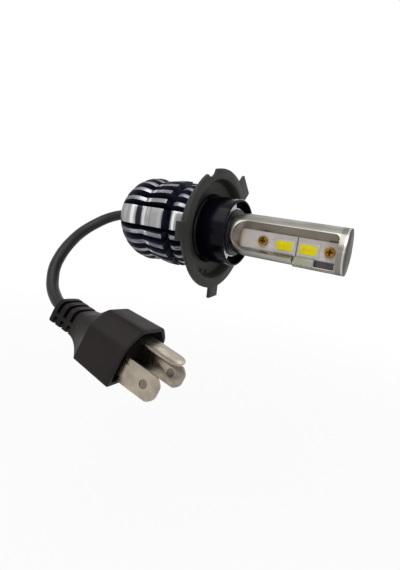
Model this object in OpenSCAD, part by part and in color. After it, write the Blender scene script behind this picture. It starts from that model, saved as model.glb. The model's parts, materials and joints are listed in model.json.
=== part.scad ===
/* [Collar] */
// Diameter of the flange ring that seats in the headlight
flange_d = 43; // [41:0.5:46]
// Radial reach of the three locating lugs from the lamp axis
lug_reach = 25.3; // [24.5:0.1:27]
// Width of the wide top lug
wide_lug_w = 8.8; // [7:0.1:10]
// Width of the two narrow lugs
narrow_lug_w = 5.9; // [4:0.1:7]
// Length of the sleeve in front of the flange face
sleeve_front = 7.8; // [7.2:0.1:9]

/* [Lamp barrel] */
// Diameter of the barrel that carries the light sources
barrel_d = 14.8; // [13:0.2:17.6]
// Distance from the flange face to the barrel tip
tip_x = 46.2; // [45.5:0.1:52]
// Width of a light-source board
board_w = 6.3; // [5.4:0.1:6.3]
// Length of one light-emitting area
led_l = 5.4; // [4:0.1:6]
// Width of one light-emitting area
led_w = 3; // [2:0.1:3.4]

/* [Heat sink] */
// Largest radius of the heat sink
sink_r = 15.9; // [14:0.1:19]
// Distance from the flange face back to the heat sink rear face
sink_rear_x = 41; // [40:0.5:42]
// Number of equal divisions around the heat sink
sink_divisions = 24; // [20:4:28]
// Thickness of one fin
fin_t = 1.5; // [1.2:0.1:1.8]
// Width of the solid boss on the near and on the far side
boss_w = 6.6; // [5.6:0.2:7]
// Radius of the solid core under the fins
sink_core_r = 9; // [8.6:0.1:10]

/* [Cable and plug] */
// Diameter of the cable jacket
cable_d = 4; // [3:0.1:4.4]
// Width of a plug blade
blade_w = 8; // [6.3:0.1:8.4]
// Thickness of a plug blade
blade_t = 0.8; // [0.6:0.1:1]
// Distance of each upright blade from the plug centre plane
blade_offset = 7.7; // [7:0.1:8]
// Diameter of the latch dimple in a blade
dimple_d = 2.7; // [2:0.1:3.4]

/* [Hidden] */
$fn = 96;

// Clearance of parts that only stand next to each other
free_gap = 0.3;
// Radial clearance of the seal against the bore and the groove
seal_gap = 0.05;
// Oversize that carries a cutting shape past a face
over = 1;

// Angles are counted around the lamp axis from the top toward the near side
near_face = 95;
wide_lug_at = -37.5;
narrow_lug_swing = 135;
scoop_swing = 69;

// Collar sheet, dish and sleeve
sheet_t = 1;
flange_r = flange_d / 2;
ring_w = 2.7;
dish_slope = 1.2;
dish_depth = 4.5;
scoop_r = 3.5;
scoop_out = 1.7;
dish_wall_draft = 0.3;
dish_wall_t = 0.7;
ring_inner_land = 0.6;
ring_inner_break = 1;
dish_pocket_r = 16;
dish_pocket_l = 1.5;
dish_pocket_w = 2.2;
dish_pocket_depth = 0.5;
dish_pocket_angles = [168, 181];
barrel_r = barrel_d / 2;
neck_r = barrel_r + 1.2;
lip_r = neck_r + 0.7;
ear_r = lip_r + 1.3;
sleeve_bore_r = ear_r + 0.5;
sleeve_wall = 0.8;
sleeve_r = sleeve_bore_r + sleeve_wall;
sleeve_foot_r = sleeve_r + 0.6;
sleeve_foot_x = -2.5;
sleeve_foot_cone = 0.6;
sleeve_rear_x = -5.3;
rim_chamfer = 0.3;

// Bayonet lip in the sleeve and ears on the neck
lip_x = 3;
lip_t = 1.5;
ear_x = lip_x + lip_t + 0.4;
ear_t = 1.3;
ear_count = 3;
first_ear_at = 30;
ear_w = 5;
lip_gap_w = ear_w + 1.8;
ear_ring_wall = 0.4;

// Seal and the groove that holds it in the neck
seal_x = -1.5;
seal_section_r = 0.7;
seal_centre_r = sleeve_bore_r - seal_gap - seal_section_r;
groove_r = seal_centre_r - seal_section_r - seal_gap;
groove_w = 2 * seal_section_r + 0.4;
land_r = sleeve_bore_r - free_gap;
land_front_x = 1.5;
neck_front_x = 7;
wire_channel_r = 4;

// Heat sink stations and the two curves of its outline
front_section_x = -6.5;
front_section_rear_x = -12.3;
front_peak_x = -9.8;
front_peak_drop = 0.7;
front_bow = 6.9;
rear_section_x = -14;
rear_section_peak_x = -15;
rear_section_bow = 60;
waist_x = -23.5;
dome_peak_x = -27.7;
dome_bow = 17.6;
dome_drop = 0.15;
cavity_r = 7.5;
cavity_rear_x = -37;
front_bore_r = 6.5;
spigot_rear_x = -17;
neck_spigot_x = -11;
outline_step = 1.5;

// Barrel, its side windows and the boards
window_top = 4.95;
window_bottom = 5;
window_rear_x = 8.7;
window_front_x = tip_x - 2.5;
window_floor = 3;
window_floor_top = 2.2;
window_edge = 5.5;
low_window_x = 29.7;
low_window_drop = 6.6;
low_step = 0.4;
barrel_rear_round = 5;
core_half = 2;
board_t = 1;
board_rear_x = 9.5;
board_round = 2;
rim_front_round = 1.5;
recess_step = 0.3;
cut_step = 0.04;
sliver = 0.01;
tray_overlap = 0.3;
tray_root = 0.1;
tray_rise = 0.3;
tray_flare = 0.4;
pocket_root = 0.2;
pocket_rim = 0.3;
board_front_x = window_front_x - recess_step;
board_centre = board_w / 2 - window_floor_top;
board_gap = 0.05;
core_channel_r = 1.9;
core_channel_l = 4.5;

// Light sources and the screws on each board
led_rear_x = 26.4;
led_front_x = 34.4;
led_centre = 1.4;
package_margin = 0.7;
package_t = 0.5;
phosphor_t = 0.2;
screw_rear_x = 18.7;
screw_front_x = board_front_x - 2.3;
screw_head_r = 1.6;
screw_head_t = 0.9;
screw_r = 0.9;
screw_depth = 2.6;
screw_tip_gap = 0.1;
cross_w = 0.5;
cross_l = 2;
cross_depth = 0.5;

// Low-beam shield below the front light source
shield_t = 0.4;
shield_gap = 0.05;
shield_rise = 0.35;
shield_edge = 0.02;
shield_rear_x = 30.2;
shield_front_x = 36.4;
pocket_rear_x = 36.7;
pocket_front_x = 43.2;
pocket_floor = 1.2;

// Driver board in the heat sink cavity
driver_rear_x = -36;
driver_front_x = -18;
driver_w = 14;
driver_t = 1;
coil_x = -23.5;
coil_r = 3;
coil_h = 3.5;
capacitor_x = -31;
capacitor_r = 1.6;
capacitor_h = 4.2;
capacitor_pitch = 5.4;
chip_t = 1.2;
large_chip_x = -23.5;
large_chip_w = 5;
small_chip_x = -31.5;
small_chip_w = 4;
small_chip_l = 3;
wire_r = 0.4;
wire_pitch = 1.6;
lead_wire_side = 1.1;
lead_wire_rear_x = -19;
lead_wire_front_x = 11;
supply_wire_front_x = -34;

// Gland in the rear face and the cable that leaves it
gland_r = 3;
gland_lip_r = 3.6;
gland_lip_t = 0.6;
gland_front_x = -37;
cable_sides = 10;
cable_route = [
  [-38.5, 0, 0],
  [-41.5, 0, 0],
  [-45.2, -0.3, -0.4],
  [-49, -1.4, -1.6],
  [-52.3, -3.2, -3.6],
  [-54.5, -5.8, -6.2],
  [-55.6, -8.9, -8.9],
  [-55.6, -12.1, -11.5],
  [-54.9, -15.3, -14.2],
  [-54.3, -18.2, -17.3],
  [-53.9, -20.5, -20.8],
  [-53, -22.5, -24.4],
  [-51.3, -24, -27.9],
  [-48.8, -25.4, -31],
  [-45.5, -26.5, -33.4],
  [-41.7, -27.4, -35.1],
  [-37.6, -27.5, -36.3],
  [-34.8, -27.3, -37.1]
];
cable_side_ref = [0, 1, 0];

// Where the plug hangs and how it is turned; its own x runs along the blades
plug_at = [-4.3, -25, -46.7];
plug_turn = [-5.7, 16, 4.4];
plug_front_x = -2.4;
plug_rear_x = -17;
plug_half_w = 11;
plug_bottom = -(blade_w / 2 + 1.8);
plug_shoulder = 7;
plug_top = 12;
plug_top_half_w = 6;
plug_rear_shrink = 0.93;
plug_skin = 1.3;
insert_ledge = 0.3;
recess_depth = 4;
insert_rear_x = -14;
insert_gap = 0.05;
blade_tip_x = 11;
blade_root_x = -12;
blade_chamfer = 2;
dimple_x = 5.9;
dimple_depth = 0.3;
top_blade_z = 7.8;
relief_rear_x = -35;
relief_w = 10.5;
relief_h = 8.3;
relief_z = 0.85;
relief_round = 2;
rib_count = 4;
rib_pitch = 3;
rib_t = 1.7;
relief_core_shrink = 0.72;
flare_x = -24;
flare_share = 0.86;
spine_z = 0.1;
spine_h = 1.3;
hull_slice = 0.1;
cable_entry_z = 0.8;
cable_entry_l = 3;

function unit(v) = v / norm(v);

// Outline radius of the front section: one bow between its two faces
function front_radius(x) = sink_r - front_peak_drop - pow(x - front_peak_x, 2) / front_bow;

// Outline radius of the rear section: a flat bow ahead of the waist, a dome behind it
function rear_radius(x) =
  x > waist_x
    ? sink_r - pow(x - rear_section_peak_x, 2) / rear_section_bow
    : sink_r - dome_drop - pow(x - dome_peak_x, 2) / dome_bow;

// Evenly spaced stations from a to b, no further apart than the outline step
function stations(a, b) =
  let (n = ceil(abs(b - a) / outline_step))
  [for (i = [0 : n]) a + (b - a) * i / n];

// Direction of the cable at route point i
function route_dir(i) =
  let (last = len(cable_route) - 1)
  unit(cable_route[min(i + 1, last)] - cable_route[max(i - 1, 0)]);

// Point k of the cable ring at route point i
function ring_point(i, k) =
  let (
    t = route_dir(i),
    u = unit(cross(cable_side_ref, t)),
    v = cross(t, u),
    a = 360 * k / cable_sides
  )
  cable_route[i] + cable_d / 2 * (u * cos(a) + v * sin(a));

// Stands children on the lamp axis: their z runs to the tip, their x points out at angle t
module facing(t) {
  rotate([0, 90, 0]) rotate([0, 0, t + 180]) children();
}

// Turned solid from points of radius and distance along the lamp axis
module turned(points) {
  facing(0) rotate_extrude() polygon(points);
}

// Straight bar along the lamp axis from x0 to x1
module bar(r, x0, x1) {
  facing(0) translate([0, 0, x0]) cylinder(r = r, h = x1 - x0);
}

// Block given by its ranges out of the near face, across it and along the lamp axis
module face_block(out, across, along) {
  translate([out[0], across[0], along[0]])
    cube([out[1] - out[0], across[1] - across[0], along[1] - along[0]]);
}

// Children placed on the near face, and on the far one as its mirror image
module on_near() {
  facing(near_face) children();
}

module on_far() {
  facing(near_face) mirror([1, 0, 0]) children();
}

module lug(w, at) {
  facing(at)
    translate([flange_r - ring_w, -w / 2, -sheet_t])
      cube([lug_reach - flange_r + ring_w, w, sheet_t]);
}

module scoop(at) {
  facing(at)
    translate([flange_r + scoop_out, 0, -sheet_t - over])
      cylinder(r = scoop_r, h = sheet_t + 2 * over);
}

// Shallow pressed pocket in the floor of the dish
module dish_pocket(at) {
  facing(at)
    translate([
      dish_pocket_r - dish_pocket_l / 2, -dish_pocket_w / 2,
      sheet_t - dish_depth - dish_pocket_depth
    ])
      cube([dish_pocket_l, dish_pocket_w, dish_pocket_depth + over]);
}

module collar_flange() {
  ring_in = flange_r - ring_w;
  dish_r = ring_in - dish_slope;
  color([0.16, 0.16, 0.17])
    difference() {
      union() {
        turned([
          [ring_in, 0], [flange_r, 0], [flange_r, -sheet_t], [ring_in, -sheet_t],
          [dish_r + dish_wall_draft, -dish_depth], [sleeve_foot_r, -dish_depth],
          [sleeve_foot_r, -dish_depth + sheet_t], [dish_r - dish_wall_t, -dish_depth + sheet_t],
          [ring_in - ring_inner_break, -sheet_t / 2], [ring_in - ring_inner_land, 0]
        ]);
        lug(wide_lug_w, wide_lug_at);
        lug(narrow_lug_w, wide_lug_at + narrow_lug_swing);
        lug(narrow_lug_w, wide_lug_at - narrow_lug_swing);
      }
      scoop(wide_lug_at + scoop_swing);
      scoop(wide_lug_at - scoop_swing);
      for (at = dish_pocket_angles) dish_pocket(at);
    }
}

module collar_sleeve() {
  color([0.05, 0.05, 0.07])
    turned([
      [sleeve_bore_r, sleeve_rear_x], [sleeve_foot_r, sleeve_rear_x],
      [sleeve_foot_r, sleeve_foot_x - sleeve_foot_cone], [sleeve_r, sleeve_foot_x],
      [sleeve_r, sleeve_front - rim_chamfer], [sleeve_r - rim_chamfer, sleeve_front],
      [sleeve_bore_r, sleeve_front]
    ]);
}

module collar_lip() {
  color([0.06, 0.06, 0.08])
    difference() {
      turned([
        [lip_r, lip_x], [sleeve_bore_r, lip_x],
        [sleeve_bore_r, lip_x + lip_t], [lip_r, lip_x + lip_t]
      ]);
      for (k = [0 : ear_count - 1])
        facing(first_ear_at + 360 * k / ear_count)
          translate([lip_r - over, -lip_gap_w / 2, lip_x - over])
            cube([sleeve_bore_r - lip_r + 2 * over, lip_gap_w, lip_t + 2 * over]);
    }
}

module o_ring() {
  color([0.04, 0.04, 0.04])
    facing(0)
      translate([0, 0, seal_x])
        rotate_extrude() translate([seal_centre_r, 0]) circle(r = seal_section_r, $fn = 32);
}

// Core with radial fins and the two solid bosses, longer and wider than any section
module fin_star(x0, x1) {
  reach = sink_r + over;
  skipped = [0, sink_divisions / 2 - 1, sink_divisions / 2, sink_divisions - 1];
  bar(sink_core_r, x0, x1);
  for (k = [0 : sink_divisions - 1])
    if (len([for (n = skipped) if (n == k) n]) == 0)
      facing(90 + 360 * (k + 0.5) / sink_divisions)
        translate([0, -fin_t / 2, x0]) cube([reach, fin_t, x1 - x0]);
  facing(90) translate([-reach, -boss_w / 2, x0]) cube([2 * reach, boss_w, x1 - x0]);
}

module heat_sink_rear() {
  dome_end_x = -sink_rear_x;
  color([0.62, 0.64, 0.67])
    difference() {
      intersection() {
        turned(concat(
          [[0, rear_section_x]],
          [for (x = stations(rear_section_x, waist_x)) [rear_radius(x), x]],
          [for (x = stations(waist_x - outline_step, dome_end_x)) [rear_radius(x), x]],
          [[0, dome_end_x]]
        ));
        fin_star(dome_end_x - over, rear_section_x + over);
      }
      bar(cavity_r, cavity_rear_x, rear_section_x + over);
      bar(gland_r, dome_end_x - over, cavity_rear_x + over);
    }
}

module heat_sink_front() {
  color([0.6, 0.62, 0.66])
    difference() {
      union() {
        intersection() {
          turned(concat(
            [[0, front_section_x]],
            [for (x = stations(front_section_x, front_section_rear_x)) [front_radius(x), x]],
            [[0, front_section_rear_x]]
          ));
          fin_star(front_section_rear_x - over, front_section_x + over);
        }
        bar(cavity_r, spigot_rear_x, front_section_rear_x);
      }
      bar(front_bore_r, spigot_rear_x - over, front_section_x + over);
    }
}

module neck() {
  color([0.5, 0.51, 0.53])
    turned([
      [wire_channel_r, neck_spigot_x], [front_bore_r, neck_spigot_x],
      [front_bore_r, front_section_x], [land_r, front_section_x],
      [land_r, seal_x - groove_w / 2], [groove_r, seal_x - groove_w / 2],
      [groove_r, seal_x + groove_w / 2], [land_r, seal_x + groove_w / 2],
      [land_r, land_front_x], [neck_r - ear_ring_wall, land_front_x],
      [neck_r - ear_ring_wall, neck_front_x], [wire_channel_r, neck_front_x]
    ]);
}

module bayonet_ring() {
  ring_r = neck_r - ear_ring_wall;
  color([0.66, 0.67, 0.68])
    difference() {
      union() {
        bar(neck_r, ear_x, ear_x + ear_t);
        for (k = [0 : ear_count - 1])
          intersection() {
            facing(first_ear_at + 360 * k / ear_count)
              translate([0, -ear_w / 2, ear_x])
                cube([ear_r + over, ear_w, ear_t]);
            bar(ear_r, ear_x, ear_x + ear_t);
          }
      }
      bar(ring_r, ear_x - over, ear_x + ear_t + over);
    }
}

// Side outline of the barrel: square at the tip, rounded where it meets the neck
module barrel_outline() {
  r = barrel_rear_round;
  wide = barrel_r + over;
  translate([neck_front_x + r, -wide]) square([tip_x - neck_front_x - r, 2 * wide]);
  translate([neck_front_x, -barrel_r + r]) square([r + over, 2 * (barrel_r - r)]);
  for (side = [-1, 1])
    translate([neck_front_x + r, side * (barrel_r - r)]) circle(r = r);
}

// Outline of a slot across the lamp axis: round behind, with small rounds in front
module slot_outline(low, high, rear, front, rear_round, front_round) {
  translate([rear + rear_round, low]) square([front - front_round - rear - rear_round, high - low]);
  translate([rear, low + rear_round]) square([rear_round + sliver, high - low - 2 * rear_round]);
  translate([front - front_round - sliver, low + front_round])
    square([front_round + sliver, high - low - 2 * front_round]);
  for (y = [low + rear_round, high - rear_round])
    translate([rear + rear_round, y]) circle(r = rear_round, $fn = 48);
  for (y = [low + front_round, high - front_round])
    translate([front - front_round, y]) circle(r = front_round, $fn = 24);
}

// Stands an outline of along and across at a distance out of the near face
module face_slab(out, t) {
  translate([out, 0, 0]) rotate([90, 0, 90]) rotate([0, 0, 90]) mirror([0, 1, 0])
    linear_extrude(t) children();
}

// Outline of a board's recess and of the window's floor, grown all round by a margin
module board_outline(margin) {
  slot_outline(
    -window_floor_top - margin, board_w - window_floor_top + margin,
    board_rear_x - margin, window_front_x - recess_step + margin,
    board_round + margin, recess_step + margin
  );
}

// Outline of the window in the barrel's skin, grown all round by a margin
module rim_outline(margin) {
  slot_outline(
    -window_top - margin, window_bottom + margin, window_rear_x - margin, window_front_x + margin,
    (window_top + window_bottom) / 2 + margin - sliver, rim_front_round + margin
  );
}

// Space of one window: its wall slopes from the rim in to the edge of the board
module window_space() {
  root = board_w - window_floor_top;
  hull() {
    face_slab(window_floor, sliver) board_outline(cut_step);
    face_slab(window_edge, sliver) rim_outline(0);
  }
  face_slab(window_edge - cut_step, barrel_r) rim_outline(cut_step);
  face_slab(core_half, board_t + cut_step) board_outline(0);
  translate([0, 0, low_window_x])
    linear_extrude(window_front_x - recess_step - low_window_x)
      polygon([
        [window_floor - shield_t, root - tray_overlap],
        [window_floor - shield_t, root + tray_root],
        [window_floor + tray_rise, low_window_drop],
        [barrel_r + over, low_window_drop + tray_flare],
        [barrel_r + over, root - tray_overlap]
      ]);
  face_block(
    [pocket_floor, barrel_r], [root + pocket_root, low_window_drop - pocket_rim],
    [pocket_rear_x, pocket_front_x]
  );
  for (x = [screw_rear_x, screw_front_x])
    translate([window_floor - screw_depth, board_centre, x])
      rotate([0, 90, 0]) cylinder(r = screw_r, h = screw_depth);
}

module lamp_barrel() {
  color([0.7, 0.7, 0.68])
    difference() {
      union() {
        intersection() {
          bar(barrel_r, neck_front_x, tip_x);
          on_near()
            translate([-barrel_r - over, 0, 0])
              face_slab(0, 2 * (barrel_r + over)) barrel_outline();
        }
        intersection() {
          bar(barrel_r + low_step, low_window_x, tip_x);
          on_near()
            face_block([-barrel_d, barrel_d], [0, barrel_d], [low_window_x, tip_x]);
        }
      }
      on_near() window_space();
      on_far() window_space();
      bar(core_channel_r, neck_front_x - over, neck_front_x + core_channel_l);
    }
}

module led_board() {
  difference() {
    face_slab(core_half, board_t) board_outline(-board_gap);
    for (x = [screw_rear_x, screw_front_x])
      translate([0, board_centre, x])
        rotate([0, 90, 0]) cylinder(r = screw_r + board_gap, h = barrel_r);
  }
}

module led_board_near() {
  color([0.8, 0.78, 0.75]) on_near() led_board();
}

module led_board_far() {
  color([0.8, 0.78, 0.75]) on_far() led_board();
}

// One raised block over each light source, grown by a margin
module led_blocks(bottom, t, margin) {
  for (x = [led_rear_x, led_front_x])
    face_block(
      [bottom, bottom + t],
      [led_centre - led_w / 2 - margin, led_centre + led_w / 2 + margin],
      [x - led_l / 2 - margin, x + led_l / 2 + margin]
    );
}

module led_packages() {
  base = core_half + board_t;
  color([0.9, 0.9, 0.86]) {
    on_near() led_blocks(base, package_t, package_margin);
    on_far() led_blocks(base, package_t, package_margin);
  }
}

module led_phosphors() {
  base = core_half + board_t + package_t;
  color([0.85, 0.8, 0.05]) {
    on_near() led_blocks(base, phosphor_t, 0);
    on_far() led_blocks(base, phosphor_t, 0);
  }
}

// Pan-head screw with a cross recess, standing on the board
module board_screw() {
  shank = screw_depth - screw_tip_gap;
  difference() {
    union() {
      cylinder(r = screw_head_r, h = screw_head_t);
      translate([0, 0, -shank]) cylinder(r = screw_r - board_gap, h = shank);
    }
    for (turn = [0, 90])
      rotate([0, 0, turn])
        translate([-cross_l / 2, -cross_w / 2, screw_head_t - cross_depth])
          cube([cross_l, cross_w, cross_depth + over]);
  }
}

module board_screw_pair() {
  for (x = [screw_rear_x, screw_front_x])
    translate([core_half + board_t, board_centre, x]) rotate([0, 90, 0]) board_screw();
}

module board_screws() {
  color([0.55, 0.42, 0.16]) {
    on_near() board_screw_pair();
    on_far() board_screw_pair();
  }
}

// Bent sheet that lies on the sloped floor below the front light source
module beam_shield() {
  root = board_w - window_floor_top;
  translate([0, 0, shield_rear_x])
    linear_extrude(shield_front_x - shield_rear_x)
      polygon([
        [window_floor - shield_t + shield_gap, root + shield_gap],
        [window_floor + shield_rise, low_window_drop],
        [window_floor + shield_rise + shield_t, low_window_drop + shield_edge],
        [window_floor + shield_gap, root + shield_gap]
      ]);
}

module beam_shield_near() {
  color([0.75, 0.75, 0.7]) on_near() beam_shield();
}

module beam_shield_far() {
  color([0.75, 0.75, 0.7]) on_far() beam_shield();
}

module driver_board() {
  color([0.1, 0.35, 0.16])
    on_near()
      face_block(
        [-driver_t / 2, driver_t / 2], [-driver_w / 2, driver_w / 2],
        [driver_rear_x, driver_front_x]
      );
}

// Children stood on the near side of the driver board at x and off its centre line
module on_driver(x, off) {
  on_near() translate([driver_t / 2, off, x]) rotate([0, 90, 0]) children();
}

module driver_inductor() {
  color([0.15, 0.15, 0.16]) on_driver(coil_x, 0) cylinder(r = coil_r, h = coil_h);
}

module driver_capacitors() {
  color([0.7, 0.68, 0.62])
    for (side = [-1, 1])
      on_driver(capacitor_x, side * capacitor_pitch / 2)
        cylinder(r = capacitor_r, h = capacitor_h);
}

module driver_chips() {
  base = -driver_t / 2;
  color([0.08, 0.08, 0.09])
    on_near() {
      translate([base - chip_t / 2, 0, large_chip_x])
        cube([chip_t, large_chip_w, large_chip_w], center = true);
      translate([base - chip_t / 2, 0, small_chip_x])
        cube([chip_t, small_chip_w, small_chip_l], center = true);
    }
}

module lead_wires() {
  color([0.7, 0.1, 0.08])
    for (out = [-1, 1], across = [-1, 1])
      on_near()
        translate([out * lead_wire_side, across * wire_pitch / 2, lead_wire_rear_x])
          cylinder(r = wire_r, h = lead_wire_front_x - lead_wire_rear_x, $fn = 24);
}

module supply_wires() {
  color([0.1, 0.1, 0.12])
    for (across = [-1, 1])
      on_near()
        translate([driver_t / 2 + wire_r, across * wire_pitch / 2, cable_route[0][0]])
          cylinder(r = wire_r, h = supply_wire_front_x - cable_route[0][0], $fn = 24);
}

module cable_gland() {
  rear = -sink_rear_x;
  color([0.07, 0.07, 0.07])
    turned([
      [cable_d / 2, gland_front_x], [gland_r, gland_front_x], [gland_r, rear],
      [gland_lip_r, rear], [gland_lip_r, rear - gland_lip_t], [cable_d / 2, rear - gland_lip_t]
    ]);
}

module cable() {
  last = len(cable_route) - 1;
  rings = [for (i = [0 : last], k = [0 : cable_sides - 1]) ring_point(i, k)];
  sides = [
    for (i = [0 : last - 1], k = [0 : cable_sides - 1], upper = [false, true])
      let (
        a = i * cable_sides + k,
        b = i * cable_sides + (k + 1) % cable_sides
      )
      upper ? [a, b + cable_sides, b] : [a, a + cable_sides, b + cable_sides]
  ];
  first_cap = [for (k = [0 : cable_sides - 1]) k];
  last_cap = [for (k = [cable_sides - 1 : -1 : 0]) last * cable_sides + k];
  color([0.06, 0.06, 0.06]) polyhedron(rings, concat(sides, [first_cap], [last_cap]));
}

module in_plug() {
  translate(plug_at) rotate(plug_turn) children();
}

// Stands an outline of the plug's y and z at x0 and draws it out to x1
module plug_slab(x0, x1) {
  translate([x0, 0, 0]) rotate([90, 0, 90]) linear_extrude(x1 - x0) children();
}

// Cross section of the moulded housing, inset all round by the given amount
module housing_outline(inset) {
  w = plug_half_w - inset;
  top_w = plug_top_half_w - inset / 2;
  polygon([
    [-w, plug_bottom + inset], [w, plug_bottom + inset], [w, plug_shoulder - inset / 2],
    [top_w, plug_top - inset], [-top_w, plug_top - inset], [-w, plug_shoulder - inset / 2]
  ]);
}

// Rounded rectangle centred on the cable
module relief_outline(k) {
  w = relief_w * k;
  h = relief_h * k;
  r = relief_round * k;
  translate([0, relief_z]) {
    square([w - 2 * r, h], center = true);
    square([w, h - 2 * r], center = true);
    for (y = [-1, 1], z = [-1, 1])
      translate([y * (w / 2 - r), z * (h / 2 - r)]) circle(r = r, $fn = 32);
  }
}

module plug_body() {
  recess_x = plug_front_x - recess_depth;
  color([0.09, 0.09, 0.09])
    in_plug()
      difference() {
        union() {
          hull() {
            plug_slab(plug_front_x - hull_slice, plug_front_x) housing_outline(0);
            plug_slab(plug_rear_x, plug_rear_x + hull_slice)
              scale([plug_rear_shrink, plug_rear_shrink]) housing_outline(0);
          }
          hull() {
            plug_slab(plug_rear_x, plug_rear_x + hull_slice)
              scale([flare_share, flare_share]) housing_outline(0);
            plug_slab(flare_x - hull_slice, flare_x) relief_outline(relief_core_shrink);
          }
          plug_slab(relief_rear_x, flare_x) relief_outline(relief_core_shrink);
          plug_slab(relief_rear_x, flare_x)
            translate([0, spine_z]) square([relief_w, spine_h], center = true);
          for (k = [0 : rib_count - 1])
            plug_slab(relief_rear_x + k * rib_pitch, relief_rear_x + k * rib_pitch + rib_t)
              relief_outline(1);
        }
        plug_slab(recess_x, plug_front_x + over) housing_outline(plug_skin);
        plug_slab(insert_rear_x, plug_front_x) housing_outline(plug_skin + insert_ledge);
        translate([relief_rear_x - over, 0, cable_entry_z])
          rotate([0, 90, 0]) cylinder(r = cable_d / 2, h = over + cable_entry_l);
      }
}

// Space of one blade, wide along z and thin along y, grown by a gap
module blade_bar(x0, x1, gap) {
  translate([x0, -blade_t / 2 - gap, -blade_w / 2 - gap])
    cube([x1 - x0, blade_t + 2 * gap, blade_w + 2 * gap]);
}

module at_side_blade(side) {
  translate([0, side * blade_offset, 0]) children();
}

module at_top_blade() {
  translate([0, 0, top_blade_z]) rotate([90, 0, 0]) children();
}

module plug_insert() {
  front = plug_front_x - recess_depth;
  color([0.05, 0.05, 0.05])
    in_plug()
      difference() {
        plug_slab(insert_rear_x, front) housing_outline(plug_skin + insert_ledge + insert_gap);
        for (side = [-1, 1])
          at_side_blade(side) blade_bar(blade_root_x, front + over, insert_gap);
        at_top_blade() blade_bar(blade_root_x, front + over, insert_gap);
      }
}

// Blade with chamfered tip corners and a latch dimple in its outer side
module blade() {
  half = blade_w / 2;
  difference() {
    rotate([90, 0, 0])
      translate([0, 0, -blade_t / 2])
        linear_extrude(blade_t)
          polygon([
            [blade_root_x, -half], [blade_tip_x - blade_chamfer, -half],
            [blade_tip_x, -half + blade_chamfer], [blade_tip_x, half - blade_chamfer],
            [blade_tip_x - blade_chamfer, half], [blade_root_x, half]
          ]);
    translate([dimple_x, dimple_depth - blade_t / 2, 0])
      rotate([90, 0, 0]) cylinder(d = dimple_d, h = over, $fn = 48);
  }
}

module blade_near() {
  color([0.72, 0.69, 0.62]) in_plug() at_side_blade(-1) blade();
}

module blade_far() {
  color([0.72, 0.69, 0.62]) in_plug() at_side_blade(1) blade();
}

module blade_top() {
  color([0.72, 0.69, 0.62]) in_plug() at_top_blade() blade();
}

collar_flange();
collar_sleeve();
collar_lip();
o_ring();
heat_sink_rear();
heat_sink_front();
neck();
bayonet_ring();
lamp_barrel();
led_board_near();
led_board_far();
led_packages();
led_phosphors();
board_screws();
beam_shield_near();
beam_shield_far();
driver_board();
driver_inductor();
driver_capacitors();
driver_chips();
lead_wires();
supply_wires();
cable_gland();
cable();
plug_body();
plug_insert();
blade_near();
blade_far();
blade_top();
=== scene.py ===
"""Headlight bulb: the drawn pieces and their finishes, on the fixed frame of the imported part."""

import json
import logging
import math
from collections.abc import Callable
from dataclasses import dataclass
from enum import Enum

import bmesh
import bpy
import numpy as np
from mathutils import Euler, Matrix, Vector


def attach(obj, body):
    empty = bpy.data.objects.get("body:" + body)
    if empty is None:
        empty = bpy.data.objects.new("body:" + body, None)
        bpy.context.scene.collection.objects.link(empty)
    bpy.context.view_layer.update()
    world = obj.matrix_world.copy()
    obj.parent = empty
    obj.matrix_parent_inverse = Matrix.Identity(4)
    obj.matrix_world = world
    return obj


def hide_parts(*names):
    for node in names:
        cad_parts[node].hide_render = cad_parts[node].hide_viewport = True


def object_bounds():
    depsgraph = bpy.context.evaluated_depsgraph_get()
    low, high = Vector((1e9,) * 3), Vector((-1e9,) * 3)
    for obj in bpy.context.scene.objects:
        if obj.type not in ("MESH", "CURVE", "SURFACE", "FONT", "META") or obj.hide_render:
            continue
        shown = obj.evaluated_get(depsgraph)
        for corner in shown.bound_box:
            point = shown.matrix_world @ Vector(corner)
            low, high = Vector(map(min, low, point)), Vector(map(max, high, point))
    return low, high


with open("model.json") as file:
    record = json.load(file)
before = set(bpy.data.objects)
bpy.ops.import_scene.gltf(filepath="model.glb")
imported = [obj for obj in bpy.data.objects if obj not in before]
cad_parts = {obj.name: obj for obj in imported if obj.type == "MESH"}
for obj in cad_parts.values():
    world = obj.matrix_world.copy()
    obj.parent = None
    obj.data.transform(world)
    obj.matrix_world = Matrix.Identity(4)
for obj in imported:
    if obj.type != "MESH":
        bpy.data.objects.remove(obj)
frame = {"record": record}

CAD_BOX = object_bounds()
MM = 0.001
Color = tuple[float, float, float]
Point = tuple[float, float, float]
log = logging.getLogger("bulb")


class Body(Enum):
    """The bodies of the part that a piece can ride on."""

    COLLAR = "collar"
    SEAL = "seal"
    LAMP = "lamp"


# ---------------------------------------------------------------- finishes


def socket(node: bpy.types.Node, name: str, value: object) -> None:
    """Set one input socket of a node.

    Args:
        node: the node that has the socket.
        name: the socket's name.
        value: what the socket is set to.
    """
    node.inputs[name].default_value = value


def math_node(
    tree: bpy.types.NodeTree, operation: str, *values: bpy.types.NodeSocket | float
) -> bpy.types.NodeSocket:
    """Add a Math node to a tree.

    Args:
        tree: the tree to add to.
        operation: what the node works out.
        values: its inputs in order, each a socket to link from or a number.

    Returns:
        The node's result.
    """
    node = tree.nodes.new("ShaderNodeMath")
    node.operation = operation
    for into, value in zip(node.inputs, values):
        if isinstance(value, bpy.types.NodeSocket):
            tree.links.new(value, into)
        else:
            into.default_value = value
    return node.outputs[0]


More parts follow.
